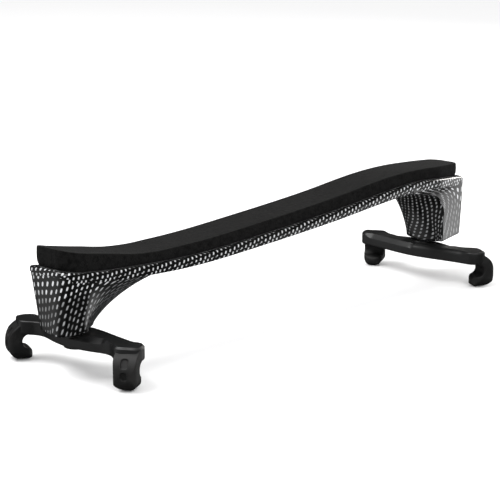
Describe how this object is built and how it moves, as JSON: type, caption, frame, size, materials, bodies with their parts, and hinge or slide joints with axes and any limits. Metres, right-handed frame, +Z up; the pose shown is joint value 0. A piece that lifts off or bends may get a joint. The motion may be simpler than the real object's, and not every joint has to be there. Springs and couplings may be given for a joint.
{
  "type": "violin shoulder rest",
  "caption": "Violin shoulder rest: S-curved woven-pattern bridge with a black foam pad, standing on two screw-in swivelling feet with rubber-booted claws.",
  "frame": {"origin": "centre of the overall box on the floor that the claws stand on", "axes": "+X along the bridge from its low end to its high end, +Y across the bridge towards the far claws, +Z up"},
  "size_m": [0.233, 0.0678, 0.0494],
  "materials": {
    "bridge_plastic": "gloss black with rows of small pale dashes like woven fibre",
    "adhesive": "thin adhesive film",
    "foam": "matte black closed-cell foam",
    "brass": "turned brass",
    "steel": "blackened steel screw",
    "arm_nylon": "satin black glass-filled nylon",
    "boot_rubber": "black rubber"
  },
  "bodies": {
    "bridge": {"bridge": "bridge_plastic", "pad_adhesive": "adhesive", "foam_pad": "foam", "left_inner_insert": "brass", "left_outer_insert": "brass", "right_inner_insert": "brass", "right_outer_insert": "brass"},
    "left_screw": {"left_foot_screw": "steel"},
    "left_foot": {"left_foot_arm": "arm_nylon", "left_near_boot": "boot_rubber", "left_far_boot": "boot_rubber"},
    "right_screw": {"right_foot_screw": "steel"},
    "right_foot": {"right_foot_arm": "arm_nylon", "right_near_boot": "boot_rubber", "right_far_boot": "boot_rubber"}
  },
  "joints": [
    {"name": "left_foot_height", "type": "slide", "parent": "bridge", "child": "left_screw", "axis": [0, 0, -1], "range_m": [-0.0005, 0.01]},
    {"name": "left_foot_turn", "type": "hinge", "parent": "left_screw", "child": "left_foot", "pos_m": [-0.10225, 0, 0.0127], "axis": [0, 0, -1], "range_deg": [-225, 4500]},
    {"name": "right_foot_height", "type": "slide", "parent": "bridge", "child": "right_screw", "axis": [0, 0, -1], "range_m": [-0.0005, 0.01]},
    {"name": "right_foot_turn", "type": "hinge", "parent": "right_screw", "child": "right_foot", "pos_m": [0.09525, 0, 0.0127], "axis": [0, 0, -1], "range_deg": [-225, 4500]}
  ],
  "couplings": [
    {"joint": "left_foot_height", "follows": "left_foot_turn", "m_per_rad": 0.00012732},
    {"joint": "right_foot_height", "follows": "right_foot_turn", "m_per_rad": 0.00012732}
  ]
}
